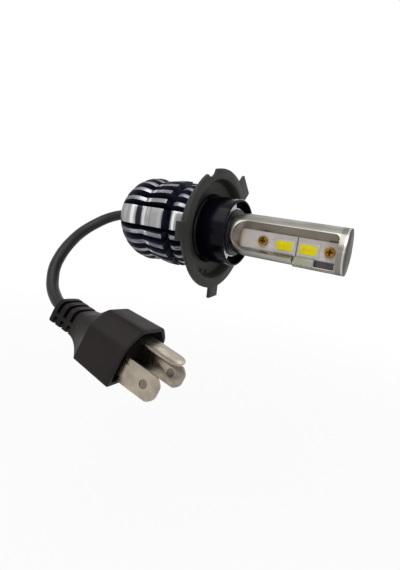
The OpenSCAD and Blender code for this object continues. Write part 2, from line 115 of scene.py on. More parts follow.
def noise_node(
    tree: bpy.types.NodeTree,
    spot: bpy.types.NodeSocket,
    scale: bpy.types.NodeSocket,
    detail: float,
) -> bpy.types.NodeSocket:
    """Add a noise texture to a tree.

    Args:
        tree: the tree to add to.
        spot: the place that the noise is read at.
        scale: its repeats per metre.
        detail: how many finer layers it has.

    Returns:
        The noise, from 0 to 1.
    """
    node = tree.nodes.new("ShaderNodeTexNoise")
    socket(node, "Detail", detail)
    tree.links.new(spot, node.inputs["Vector"])
    tree.links.new(scale, node.inputs["Scale"])
    return node.outputs["Fac"]


def new_group(
    name: str, inputs: dict[str, str], outputs: dict[str, str]
) -> tuple[bpy.types.NodeTree, bpy.types.Node, bpy.types.Node]:
    """Start a node group with its sockets.

    Args:
        name: the group's name.
        inputs: the kind of each input by its name.
        outputs: the kind of each output by its name.

    Returns:
        The group, the node that brings its inputs in and the node that takes its outputs.
    """
    tree = bpy.data.node_groups.new(name, "ShaderNodeTree")
    for in_out, sockets in (("INPUT", inputs), ("OUTPUT", outputs)):
        for label, kind in sockets.items():
            tree.interface.new_socket(name=label, in_out=in_out, socket_type=f"NodeSocket{kind}")
    return tree, tree.nodes.new("NodeGroupInput"), tree.nodes.new("NodeGroupOutput")


GRAIN_DETAIL = 4.0
PATCH_DETAIL = 2.0
# The stretch of the broad noise over which one colour gives way to the other
PATCH_SPAN = (0.35, 0.65)
GRAIN_MEAN = 0.5
# The mean of the grain and the patches added up
SUM_MEAN = 1.0


def surface_group() -> bpy.types.NodeTree:
    """Node group for a surface that varies: a fine grain over broad soft patches.

    The colour is a blend of two by the patches, times one plus the grain tint times the
    grain's offset from its mean. The roughness is its mean plus its spread times the offset
    of the grain and the patches together.

    Returns:
        The group, with the colour, roughness and height that change over the surface.
    """
    found = bpy.data.node_groups.get("grained_surface")
    if found:
        return found
    tree, given, out = new_group(
        "grained_surface",
        {
            "Color": "Color", "Patch Color": "Color", "Stretch": "Vector",
            "Grain Scale": "Float", "Patch Scale": "Float", "Grain Tint": "Float",
            "Roughness": "Float", "Roughness Spread": "Float",
        },
        {"Color": "Color", "Roughness": "Float", "Height": "Float"},
    )
    nodes, links, value = tree.nodes, tree.links, given.outputs
    spot = nodes.new("ShaderNodeTexCoord").outputs["Object"]
    pull = nodes.new("ShaderNodeVectorMath")
    pull.operation = "MULTIPLY"
    links.new(spot, pull.inputs[0])
    links.new(value["Stretch"], pull.inputs[1])
    grain = noise_node(tree, pull.outputs[0], value["Grain Scale"], GRAIN_DETAIL)
    broad = nodes.new("ShaderNodeMapRange")
    socket(broad, "From Min", PATCH_SPAN[0])
    socket(broad, "From Max", PATCH_SPAN[1])
    links.new(noise_node(tree, spot, value["Patch Scale"], PATCH_DETAIL), broad.inputs["Value"])
    patches = broad.outputs["Result"]
    blend = nodes.new("ShaderNodeMix")
    blend.data_type = "RGBA"
    links.new(patches, blend.inputs["Factor"])
    links.new(value["Color"], blend.inputs["A"])
    links.new(value["Patch Color"], blend.inputs["B"])
    rest_gain = math_node(tree, "MULTIPLY_ADD", value["Grain Tint"], -GRAIN_MEAN, 1.0)
    gain = math_node(tree, "MULTIPLY_ADD", grain, value["Grain Tint"], rest_gain)
    tint = nodes.new("ShaderNodeVectorMath")
    tint.operation = "SCALE"
    links.new(blend.outputs["Result"], tint.inputs[0])
    links.new(gain, tint.inputs["Scale"])
    offset = math_node(tree, "SUBTRACT", math_node(tree, "ADD", grain, patches), SUM_MEAN)
    rough = math_node(
        tree, "MULTIPLY_ADD", offset, value["Roughness Spread"], value["Roughness"]
    )
    rough.node.use_clamp = True
    links.new(tint.outputs[0], out.inputs["Color"])
    links.new(rough, out.inputs["Roughness"])
    links.new(grain, out.inputs["Height"])
    return tree


def band_group() -> bpy.types.NodeTree:
    """Node group for a ring around the lamp axis, soft at both of its borders.

    The mask is one up to the half width from the ring's middle and falls to nothing, as a
    smooth step, over the soft width beyond it.

    Returns:
        The group, with a mask that is one in the ring and nothing outside it.
    """
    found = bpy.data.node_groups.get("axis_band")
    if found:
        return found
    tree, given, out = new_group(
        "axis_band",
        {"At": "Float", "Half Width": "Float", "Soft Width": "Float"},
        {"Mask": "Float"},
    )
    nodes, links, value = tree.nodes, tree.links, given.outputs
    parts = nodes.new("ShaderNodeSeparateXYZ")
    links.new(nodes.new("ShaderNodeTexCoord").outputs["Object"], parts.inputs[0])
    offset = math_node(tree, "SUBTRACT", parts.outputs["X"], value["At"])
    fall = nodes.new("ShaderNodeMapRange")
    fall.interpolation_type = "SMOOTHSTEP"
    socket(fall, "To Min", 1.0)
    socket(fall, "To Max", 0.0)
    links.new(math_node(tree, "ABSOLUTE", offset), fall.inputs["Value"])
    links.new(value["Half Width"], fall.inputs["From Min"])
    end = math_node(tree, "ADD", value["Half Width"], value["Soft Width"])
    links.new(end, fall.inputs["From Max"])
    links.new(fall.outputs["Result"], out.inputs["Mask"])
    return tree


@dataclass(frozen=True)
class Band:
    """A ring of another colour around the lamp axis; most rings are painted highlights and painted
    shade. Places and widths are in millimetres.
    """

    at: float
    half: float
    soft: float
    color: Color

    def over(
        self, tree: bpy.types.NodeTree, color: bpy.types.NodeSocket
    ) -> bpy.types.NodeSocket:
        """Lay the ring over a colour.

        Args:
            tree: the material's tree.
            color: the colour under the ring.

        Returns:
            The colour with the ring on it.
        """
        ring = tree.nodes.new("ShaderNodeGroup")
        ring.node_tree = band_group()
        socket(ring, "At", self.at * MM)
        socket(ring, "Half Width", self.half * MM)
        socket(ring, "Soft Width", self.soft * MM)
        blend = tree.nodes.new("ShaderNodeMix")
        blend.data_type = "RGBA"
        socket(blend, "B", (*self.color, 1.0))
        tree.links.new(ring.outputs["Mask"], blend.inputs["Factor"])
        tree.links.new(color, blend.inputs["A"])
        return blend.outputs["Result"]


@dataclass(frozen=True)
class Finish:
    """One finish: its colours, gloss and grain.

    Scales are in repeats per metre and the bump in millimetres. The edge tint is how bright
    the surface stays where it is seen at a grazing angle.
    """

    name: str
    color: Color
    patch: Color
    metallic: float = 0.0
    rough: float = 0.5
    rough_spread: float = 0.1
    grain_scale: float = 1500.0
    patch_scale: float = 120.0
    grain_tint: float = 0.15
    bump: float = 0.02
    stretch: Point = (1.0, 1.0, 1.0)
    specular: float = 0.5
    edge_tint: float = 1.0
    bands: tuple[Band, ...] = ()

    def material(self) -> bpy.types.Material:
        """Build the finish once and hand it out after that.

        Returns:
            The material.
        """
        label = f"finish_{self.name}"
        found = bpy.data.materials.get(label)
        if found:
            return found
        mat = bpy.data.materials.new(label)
        mat.use_nodes = True
        nodes, links = mat.node_tree.nodes, mat.node_tree.links
        shader = nodes["Principled BSDF"]
        socket(shader, "Metallic", self.metallic)
        socket(shader, "Specular IOR Level", self.specular)
        socket(shader, "Specular Tint", (self.edge_tint, self.edge_tint, self.edge_tint, 1.0))
        group = nodes.new("ShaderNodeGroup")
        group.node_tree = surface_group()
        socket(group, "Color", (*self.color, 1.0))
        socket(group, "Patch Color", (*self.patch, 1.0))
        socket(group, "Stretch", self.stretch)
        socket(group, "Grain Scale", self.grain_scale)
        socket(group, "Patch Scale", self.patch_scale)
        socket(group, "Grain Tint", self.grain_tint)
        socket(group, "Roughness", self.rough)
        socket(group, "Roughness Spread", self.rough_spread)
        color = group.outputs["Color"]
        for band in self.bands:
            color = band.over(mat.node_tree, color)
        links.new(color, shader.inputs["Base Color"])
        links.new(group.outputs["Roughness"], shader.inputs["Roughness"])
        bump = nodes.new("ShaderNodeBump")
        socket(bump, "Distance", self.bump * MM)
        links.new(group.outputs["Height"], bump.inputs["Height"])
        links.new(bump.outputs["Normal"], shader.inputs["Normal"])
        return mat


# Grain drawn out along the lamp axis
ALONG = (0.05, 1.0, 1.0)
# Grain drawn out across it, as turning leaves it
AROUND = (1.0, 0.08, 0.08)

BARREL_METAL = Finish(
    "barrel_metal", (0.4, 0.39, 0.36), (0.29, 0.28, 0.255), metallic=1.0, rough=0.3,
    rough_spread=0.12, grain_scale=2600.0, patch_scale=90.0, grain_tint=0.2, bump=0.012,
    stretch=ALONG, edge_tint=0.35,
    bands=(
        # Painted light at the tip: a ring of painted shade, a ring of painted highlight, and
        # painted shade on the end face
        Band(44.7, 0.7, 0.5, (0.24, 0.225, 0.2)),
        Band(45.7, 0.08, 0.25, (0.55, 0.54, 0.52)),
        Band(46.3, 0.14, 0.06, (0.17, 0.17, 0.16)),
    ),
)
LAND_METAL = Finish(
    "land_metal", (0.38, 0.38, 0.39), (0.18, 0.18, 0.21), metallic=1.0, rough=0.36,
    rough_spread=0.12, grain_scale=2200.0, patch_scale=150.0, grain_tint=0.16, bump=0.01,
    edge_tint=0.5,
    bands=(
        # Painted light: painted shade in the waist groove, a painted highlight ring behind it, and
        # painted shade toward the front of the front section
        Band(-24.0, 0.3, 1.0, (0.3, 0.3, 0.33)),
        Band(-21.6, 0.3, 0.8, (0.68, 0.68, 0.69)),
        Band(-7.2, 0.5, 1.2, (0.2, 0.2, 0.22)),
    ),
)
BOSS_METAL = Finish(
    "boss_metal", (0.47, 0.47, 0.46), (0.34, 0.34, 0.35), metallic=1.0, rough=0.3,
    rough_spread=0.12, grain_scale=900.0, patch_scale=150.0, grain_tint=0.3, bump=0.008,
    stretch=AROUND, edge_tint=0.5,
    bands=(
        # Every ring is painted light: the bright ones are painted highlights on the ends and
        # ridges, the dark ones are painted shade in the grooves, creases and front section, and
        # the bluish one is a painted reflection in the gap between the sections
        Band(-40.0, 0.6, 1.2, (0.62, 0.62, 0.6)),
        Band(-29.3, 0.05, 0.3, (0.3, 0.3, 0.32)),
        Band(-27.2, 0.4, 0.7, (0.78, 0.78, 0.76)),
        Band(-24.7, 0.7, 0.6, (0.02, 0.02, 0.026)),
        Band(-22.6, 0.4, 0.5, (0.72, 0.72, 0.72)),
        Band(-19.4, 0.06, 0.2, (0.17, 0.17, 0.19)),
        Band(-14.3, 0.1, 0.3, (0.22, 0.22, 0.3)),
        Band(-11.6, 0.3, 0.5, (0.3, 0.3, 0.34)),
        Band(-9.9, 0.2, 0.4, (0.85, 0.85, 0.84)),
        Band(-7.6, 0.9, 1.0, (0.22, 0.22, 0.23)),
    ),
)
# Brownish painted shade on the sloped walls above the boards and on the low tray
WALL_PAINTED_SHADE = Finish(
    "wall_painted_shade", (0.17, 0.15, 0.125), (0.23, 0.2, 0.165), metallic=1.0, rough=0.3,
    rough_spread=0.12, grain_scale=2600.0, patch_scale=110.0, grain_tint=0.16, bump=0.01,
    stretch=ALONG,
)
# Painted shade in the low pockets under the boards
POCKET_PAINTED_SHADE = Finish(
    "pocket_painted_shade", (0.05, 0.05, 0.06), (0.1, 0.1, 0.11), metallic=1.0, rough=0.3,
    rough_spread=0.12, grain_scale=2600.0, patch_scale=200.0, grain_tint=0.16, bump=0.01,
    stretch=ALONG,
)
SLOT_METAL = Finish(
    "slot_metal", (0.008, 0.009, 0.017), (0.02, 0.023, 0.045), rough=0.4, rough_spread=0.12,
    grain_scale=1800.0, patch_scale=140.0, grain_tint=0.3, bump=0.02, specular=0.25,
)
NECK_METAL = Finish(
    "neck_metal", (0.012, 0.012, 0.02), (0.02, 0.02, 0.03), rough=0.3, specular=0.25,
)
EAR_METAL = Finish("ear_metal", (0.5, 0.5, 0.5), (0.42, 0.42, 0.42), metallic=1.0, rough=0.25)
FLANGE_PAINT = Finish(
    "flange_paint", (0.034, 0.034, 0.031), (0.046, 0.046, 0.042), rough=0.45, grain_scale=1400.0,
    patch_scale=80.0, grain_tint=0.2, bump=0.012, specular=0.12,
)
SLEEVE_GLOSS = Finish(
    "sleeve_gloss", (0.0018, 0.0016, 0.004), (0.003, 0.0026, 0.006), rough=0.16,
    rough_spread=0.05, grain_scale=1400.0, patch_scale=90.0, grain_tint=0.1, bump=0.003,
    specular=0.09,
)
SEAL_RUBBER = Finish(
    "seal_rubber", (0.01, 0.01, 0.01), (0.015, 0.015, 0.015), rough=0.7, specular=0.15,
)
BOARD_WHITE = Finish(
    "board_white", (0.54, 0.49, 0.46), (0.6, 0.56, 0.53), rough=0.4, rough_spread=0.08,
    grain_scale=1200.0, patch_scale=160.0, grain_tint=0.06, bump=0.006, specular=0.3,
    bands=(
        # The thin dark ring between the packages is a painted shadow; the brown ring near the rear
        # end is the board's own marks
        Band(30.4, 0.12, 0.12, (0.07, 0.06, 0.03)),
        Band(9.4, 0.3, 1.6, (0.3, 0.19, 0.1)),
    ),
)
PACKAGE_WHITE = Finish(
    "package_white", (0.6, 0.58, 0.56), (0.54, 0.52, 0.5), rough=0.4, rough_spread=0.06,
    specular=0.3,
)
PHOSPHOR = Finish(
    "phosphor", (0.7, 0.56, 0.002), (0.8, 0.68, 0.004), rough=0.45, grain_scale=3500.0,
    patch_scale=400.0, grain_tint=0.22, bump=0.02, specular=0.2,
)
SCREW_BRASS = Finish(
    "screw_brass", (0.34, 0.175, 0.02), (0.15, 0.072, 0.01), metallic=1.0, rough=0.3,
    rough_spread=0.15, grain_scale=2500.0, patch_scale=600.0, grain_tint=0.4, bump=0.03,
)
# Painted shade in the screws' cross recesses
SCREW_RECESS_SHADE = Finish(
    "screw_recess_shade", (0.05, 0.024, 0.004), (0.08, 0.04, 0.006), rough=0.6, specular=0.1,
)
# The shield's yellow-green tint is a painted reflection of the phosphor
SHIELD_METAL = Finish(
    "shield_metal", (0.25, 0.255, 0.22), (0.2, 0.205, 0.135), metallic=1.0, rough=0.26,
    grain_scale=2600.0, patch_scale=200.0, grain_tint=0.1, bump=0.008, stretch=ALONG,
)
LAMINATE = Finish("laminate", (0.02, 0.1, 0.04), (0.03, 0.12, 0.05), rough=0.45)
FERRITE = Finish("ferrite", (0.03, 0.03, 0.033), (0.045, 0.045, 0.05), rough=0.55)
CAN_METAL = Finish("can_metal", (0.5, 0.48, 0.42), (0.45, 0.43, 0.38), metallic=1.0, rough=0.35)
CHIP_BLACK = Finish("chip_black", (0.015, 0.015, 0.015), (0.02, 0.02, 0.02))
WIRE_RED = Finish("wire_red", (0.4, 0.02, 0.015), (0.35, 0.02, 0.015), rough=0.45)
WIRE_BLACK = Finish("wire_black", (0.015, 0.015, 0.015), (0.02, 0.02, 0.02), rough=0.45)
CABLE_JACKET = Finish(
    "cable_jacket", (0.015, 0.0135, 0.0135), (0.022, 0.019, 0.019), rough=0.42,
    grain_scale=1500.0, patch_scale=150.0, grain_tint=0.2, bump=0.02, specular=0.22,
)
PLUG_PLASTIC = Finish(
    "plug_plastic", (0.013, 0.0095, 0.0095), (0.018, 0.0135, 0.0135), grain_scale=1300.0,
    patch_scale=90.0, grain_tint=0.2, bump=0.025, specular=0.14,
    bands=(
        Band(-36.0, 3.5, 3.0, (0.005, 0.004, 0.004)),
    ),
)
INSERT_PLASTIC = Finish(
    "insert_plastic", (0.003, 0.0026, 0.002), (0.005, 0.004, 0.003), rough=0.6, specular=0.05,
)
# Painted shade in the blades' dimples, on the blade's own metal
DIMPLE_PAINTED_SHADE = Finish(
    "dimple_painted_shade", (0.2, 0.17, 0.14), (0.15, 0.13, 0.11), metallic=1.0, rough=0.4,
    grain_scale=1800.0, patch_scale=260.0, grain_tint=0.2, bump=0.01,
)
BLADE_METAL = Finish(
    "blade_metal", (0.42, 0.36, 0.285), (0.3, 0.265, 0.225), metallic=1.0, rough=0.34,
    rough_spread=0.14, grain_scale=1800.0, patch_scale=260.0, grain_tint=0.22, bump=0.012,
    stretch=(1.0, 1.0, 0.2),
)


# ---------------------------------------------------------------- meshes


# Edges that turn less than this, in degrees, are shaded smooth
SMOOTH_ANGLE = 32.0
# Edges that turn more than this, in degrees, are rounded
SHARP_ANGLE = 30.0
# Points nearer than this, in millimetres, are one
MERGE = 0.0005
# Faces that turn less than this, in degrees, are one flat face
FLAT_ANGLE = 0.3
# An edge across the corner of a plate is shorter than this, in millimetres
PLATE_T = 0.9
# and turns between these, in degrees
CORNER_TURN = (40.0, 50.0)
# How many faces make the rounding of a corner and of an edge
CORNER_STEPS = 5
EDGE_STEPS = 2
# A rounding with this profile is an arc
ROUND_PROFILE = 0.5
# What tells a face's finish by its corners
FaceTest = Callable[[np.ndarray], int]


def dress(piece: bpy.types.Object, *finishes: Finish) -> None:
    """Give a piece its finishes, in the order in which its faces number them.

    Args:
        piece: the object to dress.
        finishes: its finishes.
    """
    slots = piece.data.materials
    for index, finish in enumerate(finishes):
        if index < len(slots):
            slots[index] = finish.material()
        else:
            slots.append(finish.material())


def shade(mesh: bpy.types.Mesh) -> None:
    """Smooth a mesh except across its sharp edges."""
    mesh.shade_smooth()
    mesh.set_sharp_from_angle(angle=math.radians(SMOOTH_ANGLE))


def node_body(node: str) -> Body:
    """The body that the record puts a node on."""
    bodies = frame["record"]["behaviour"]["bodies"]
    return next(Body(name) for name, nodes in bodies.items() if node in nodes)


def place(mesh: bpy.types.Mesh, name: str, node: str) -> bpy.types.Object:
    """Make a piece of a mesh that rides on the body of the node that it replaces, and hide that
    node.

    Args:
        mesh: the mesh, in place in the part's frame.
        name: the piece's name.
        node: the node it replaces.

    Returns:
        The new object.
    """
    piece = bpy.data.objects.new(name, mesh)
    bpy.context.collection.objects.link(piece)
    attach(piece, node_body(node).value)
    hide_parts(node)
    log.info("made %s in place of %s", name, node)
    return piece


def round_edges(shape: bmesh.types.BMesh, edges: list, width: float, steps: int) -> None:
    """Round edges of a shape.

    Args:
        shape: the shape.
        edges: its edges to round.
        width: how far the rounding reaches, in millimetres.
        steps: how many faces make it.
    """
    bmesh.ops.bevel(
        shape, geom=edges, offset=width * MM, segments=steps, profile=ROUND_PROFILE,
        affect="EDGES", clamp_overlap=True, material=-1,
    )


def eased_copy(
    node: str, edge: float, which: FaceTest | None = None, corner: float = 0.0
) -> bpy.types.Object:
    """A copy of a node with its flat faces whole again and its edges rounded.

    Args:
        node: the node to copy and to replace.
        edge: the width of the rounding in millimetres.
        which: tells from a face's corners, in millimetres, which of the finishes it takes.
        corner: how far the short corner edges of a plate are rounded first, in millimetres.

    Returns:
        The new piece.
    """
    mesh = bpy.data.objects[node].data.copy()
    shape = bmesh.new()
    shape.from_mesh(mesh)
    bmesh.ops.remove_doubles(shape, verts=shape.verts, dist=MERGE * MM)
    bmesh.ops.dissolve_limit(
        shape, angle_limit=math.radians(FLAT_ANGLE), verts=shape.verts, edges=shape.edges
    )
    if corner:
        least, most = (math.radians(turn) for turn in CORNER_TURN)
        short = [
            e for e in shape.edges
            if len(e.link_faces) == 2 and e.calc_length() < PLATE_T * MM
            and least < e.calc_face_angle(0.0) < most
        ]
        round_edges(shape, short, corner, CORNER_STEPS)
    if which:
        for face in shape.faces:
            corners = np.array([v.co for v in face.verts]) / MM
            face.material_index = which(corners)
    sharp = [
        e for e in shape.edges
        if len(e.link_faces) == 2 and e.calc_face_angle(0.0) > math.radians(SHARP_ANGLE)
    ]
    round_edges(shape, sharp, edge, EDGE_STEPS)
    shape.to_mesh(mesh)
    shape.free()
    shade(mesh)
    return place(mesh, f"{node}_drawn", node)


# ---------------------------------------------------------------- heat sink


@dataclass
class HeatSink:
    """The two finned sections: bright turned lands over dark slots.

    Sizes are in millimetres. A land lies on the turned outline and a slot is cut below it.
    """

    largest: float = 15.9
    front_drop: float = 0.7
    front_peak: float = -9.8
    front_bow: float = 6.9
    split: float = -13.0
    waist: float = -23.5
    rear_peak: float = -15.0
    rear_bow: float = 60.0
    dome_drop: float = 0.15
    dome_peak: float = -27.7
    dome_bow: float = 17.6
    land_depth: float = 0.45
    boss_half: float = 3.4
    edge: float = 0.14

    def outline(self, x: np.ndarray) -> np.ndarray:
        """Radius of the turned outline: a bow in front, a long bow, then a dome behind the waist.

        Each is a parabola: its largest radius, less the square of the way from its peak over
        a number that flattens it.

        Args:
            x: places along the lamp axis, in millimetres.

        Returns:
            The outline's radius there, in millimetres.
        """
        front = self.largest - self.front_drop - (x - self.front_peak) ** 2 / self.front_bow
        middle = self.largest - (x - self.rear_peak) ** 2 / self.rear_bow
        dome = self.largest - self.dome_drop - (x - self.dome_peak) ** 2 / self.dome_bow
        return np.where(x > self.split, front, np.where(x > self.waist, middle, dome))

    def finish_of(self, corners: np.ndarray) -> int:
        """Which finish a face takes: a slot is below the turned outline, a boss is at the side.

        Args:
            corners: the face's corners, in millimetres.

        Returns:
            0 on a bright land, 1 below the outline, 2 on a boss.
        """
        radius = np.hypot(corners[:, 1], corners[:, 2])
        if (radius < self.outline(corners[:, 0]) - self.land_depth).any():
            return 1
        return 2 if (np.abs(corners[:, 2]) < self.boss_half).all() else 0

    def build(self) -> None:
        """Draw both sections with bright lands, dark slots and brighter bosses."""
        for node in ("heat_sink_rear", "heat_sink_front"):
            piece = eased_copy(node, self.edge, which=self.finish_of)
            dress(piece, LAND_METAL, SLOT_METAL, BOSS_METAL)


# ---------------------------------------------------------------- lamp barrel

# The turn of the light boards about the lamp axis, in degrees
BOARD_TURN = 95.0


@dataclass
class Barrel:
    """The turned barrel: bright skin, with painted shade on the sloped walls above the boards and
    in the low pockets.

    Sizes are in millimetres. The places of the wall and the pocket are distances across the
    board from its middle line, below it where they are positive.
    """

    skin_r: float = 7.0
    window_x: tuple[float, float] = (8.0, 44.0)
    upper_wall: float = -1.9
    pocket: float = 4.2
    pocket_x: tuple[float, float] = (36.5, 43.3)
    pocket_high: float = 6.35
    tray_x: float = 29.5
    edge: float = 0.15

    def finish_of(self, corners: np.ndarray) -> int:
        """Which finish a face takes, by its depth in the window and its side of the board.

        Args:
            corners: the face's corners, in millimetres.

        Returns:
            0 on the skin and the low wall, 1 on the high wall and the tray, 2 in the low pocket; 1
            and 2 are painted shade.
        """
        turn = math.radians(BOARD_TURN)
        across = corners[:, 1] * -math.cos(turn) - corners[:, 2] * math.sin(turn)
        radius = np.hypot(corners[:, 1], corners[:, 2])
        x = corners[:, 0]
        if radius.min() > self.skin_r or x.min() < self.window_x[0] or x.max() > self.window_x[1]:
            return 0
        in_pocket = x.min() > self.pocket_x[0] and x.max() < self.pocket_x[1]
        if across.min() > self.pocket and across.max() < self.pocket_high and in_pocket:
            return 2
        in_tray = across.min() > self.pocket and x.min() > self.tray_x
        return int(across.max() < self.upper_wall or in_tray)

    def build(self) -> None:
        """Draw the barrel in its three finishes."""
        piece = eased_copy("lamp_barrel", self.edge, which=self.finish_of)
        dress(piece, BARREL_METAL, WALL_PAINTED_SHADE, POCKET_PAINTED_SHADE)


# ---------------------------------------------------------------- screws


@dataclass
class BoardScrews:
    """The cross-recess screws that hold the light boards. Sizes are in millimetres.

    The floor of a recess is a distance from the lamp axis, square to the board.
    """

    recess_floor: float = 3.4
    tolerance: float = 0.03
    edge: float = 0.1

    def finish_of(self, corners: np.ndarray) -> int:
        """Which finish a face takes: the cross recess is painted shade, the rest is brass.

        Args:
            corners: the face's corners, in millimetres.

        Returns:
            1 in the recess, 0 elsewhere.
        """
        turn = math.radians(BOARD_TURN)
        out = np.abs(-corners[:, 1] * math.sin(turn) + corners[:, 2] * math.cos(turn))
        return int((np.abs(out - self.recess_floor) < self.tolerance).any())

    def build(self) -> None:
        """Draw the screws with brass heads and painted shade in their recesses."""
        dress(eased_copy("board_screws", self.edge, which=self.finish_of), SCREW_BRASS, SCREW_RECESS_SHADE)


# ---------------------------------------------------------------- plug


def closed_skin(rings: np.ndarray, rear: np.ndarray, front: np.ndarray) -> bpy.types.Mesh:
    """A closed mesh through rings of points, with one point at each end.

    Each ring joins the next by a row of four-sided faces, and a fan closes each end.

    Args:
        rings: the rings' points, as ring by point by coordinate, in metres.
        rear: the point that closes the first ring.
        front: the point that closes the last ring.

    Returns:
        The mesh, with its faces outward.
    """
    count, around = rings.shape[:2]
    points = np.concatenate([rings.reshape(-1, 3), rear[None], front[None]])
    ring, spot = np.meshgrid(np.arange(count - 1), np.arange(around), indexing="ij")
    here = ring * around + spot
    beside = ring * around + (spot + 1) % around
    quads = np.stack([here, here + around, beside + around, beside], axis=-1).reshape(-1, 4)
    first = np.arange(around)
    second = (first + 1) % around
    last = (count - 1) * around
    rear_fan = np.stack([np.full(around, count * around), first, second], axis=-1)
    front_fan = np.stack(
        [np.full(around, count * around + 1), last + second, last + first], axis=-1
    )
    mesh = bpy.data.meshes.new("skin")
    mesh.from_pydata(points.tolist(), [], quads.tolist() + rear_fan.tolist() + front_fan.tolist())
    shape = bmesh.new()
    shape.from_mesh(mesh)
    bmesh.ops.recalc_face_normals(shape, faces=shape.faces)
    shape.to_mesh(mesh)
    shape.free()
    return mesh


